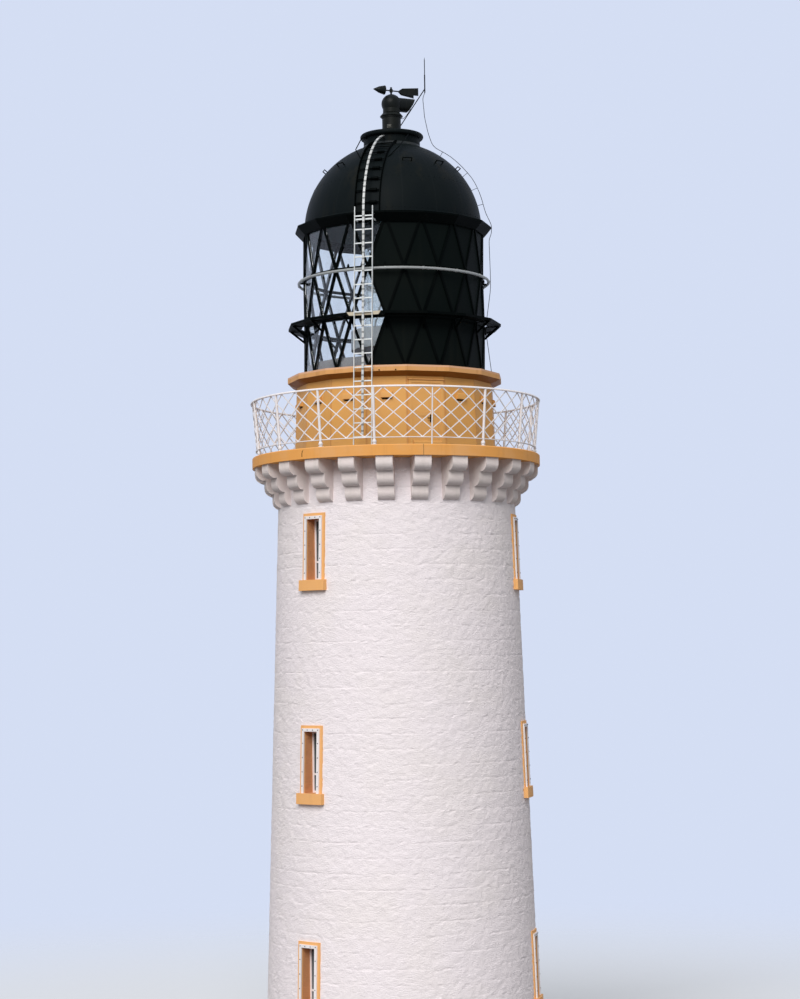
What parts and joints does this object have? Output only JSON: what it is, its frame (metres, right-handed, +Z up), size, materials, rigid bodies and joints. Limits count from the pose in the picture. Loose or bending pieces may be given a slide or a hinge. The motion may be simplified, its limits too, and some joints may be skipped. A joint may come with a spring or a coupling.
{
  "type": "lighthouse",
  "caption": "Round masonry lighthouse tower with corbelled gallery, lattice railing, triangular lantern glazing, dome and a ventilator cowl that turns with the wind.",
  "frame": {"origin": "centre of the tower's round base, on the ground", "axes": "+Z up along the tower's axis; -Y towards the viewer of the picture, +X to the viewer's right"},
  "size_m": [5.8116, 5.8116, 20.57],
  "materials": {
    "white_masonry": "limewashed rough coursed stone",
    "ochre_stone": "masonry paint",
    "floor_stone": "dressed stone",
    "ochre_metal": "gloss paint",
    "white_metal": "gloss paint",
    "black_metal": "gloss paint",
    "grey_metal": "galvanised",
    "copper_wire": "weathered copper",
    "clear_glass": "clear",
    "window_glass": "clear",
    "door_paint": "gloss paint"
  },
  "bodies": {
    "tower": {"air_terminal": "black_metal", "base_vents": "ochre_metal", "blank_panels": "black_metal", "bond_cable": "copper_wire", "cleaning_ledge": "black_metal", "clear_panes": "clear_glass", "conductor_clips": "black_metal", "corbels": "white_masonry", "dome_cornice": "black_metal", "dome_grips": "black_metal", "dome_ladder": "black_metal", "dome_shell": "black_metal", "door_surround": "ochre_stone", "down_conductor": "copper_wire", "entrance_door": "door_paint", "fall_arrest_rail": "grey_metal", "gallery_door": "ochre_metal", "gallery_door_frame": "ochre_metal", "gallery_door_handle": "black_metal", "gallery_slab": "ochre_stone", "glazing_frame_lower": "black_metal", "glazing_frame_middle": "black_metal", "glazing_frame_upper": "black_metal", "grab_rails": "black_metal", "ground_wall_bays": "white_masonry", "ground_wall_piers": "white_masonry", "handrail_brackets": "black_metal", "ladder_brackets": "white_metal", "ladder_step_plate": "white_metal", "lamp_pedestal": "white_metal", "lantern_base_panels": "ochre_metal", "lantern_curb": "grey_metal", "lantern_handrail": "grey_metal", "lantern_ladder": "white_metal", "lantern_sole": "ochre_metal", "ledge_brackets": "black_metal", "lens_drum": "clear_glass", "lens_table": "grey_metal", "middle_wall_bays": "white_masonry", "middle_wall_piers": "white_masonry", "neck_collar": "black_metal", "railing_bottom_rail": "white_metal", "railing_lattice": "white_metal", "railing_posts": "white_metal", "railing_top_rail": "white_metal", "storey_floors": "floor_stone", "terminal_stay": "black_metal", "upper_wall_bays": "white_masonry", "upper_wall_piers": "white_masonry", "ventilator_cap": "black_metal", "ventilator_drum": "black_metal", "ventilator_neck": "black_metal", "window_casings": "white_metal", "window_panes": "window_glass", "window_sills": "ochre_stone", "window_surrounds": "ochre_stone"},
    "cowl": {"cowl_head": "black_metal", "cowl_spindle": "black_metal", "wind_arrow": "black_metal", "arrow_tail": "black_metal"}
  },
  "joints": [
    {"name": "cowl_turn", "type": "hinge", "parent": "tower", "child": "cowl", "pos_m": [0, 0, 19.4], "axis": [0, 0, 1], "continuous": true}
  ]
}
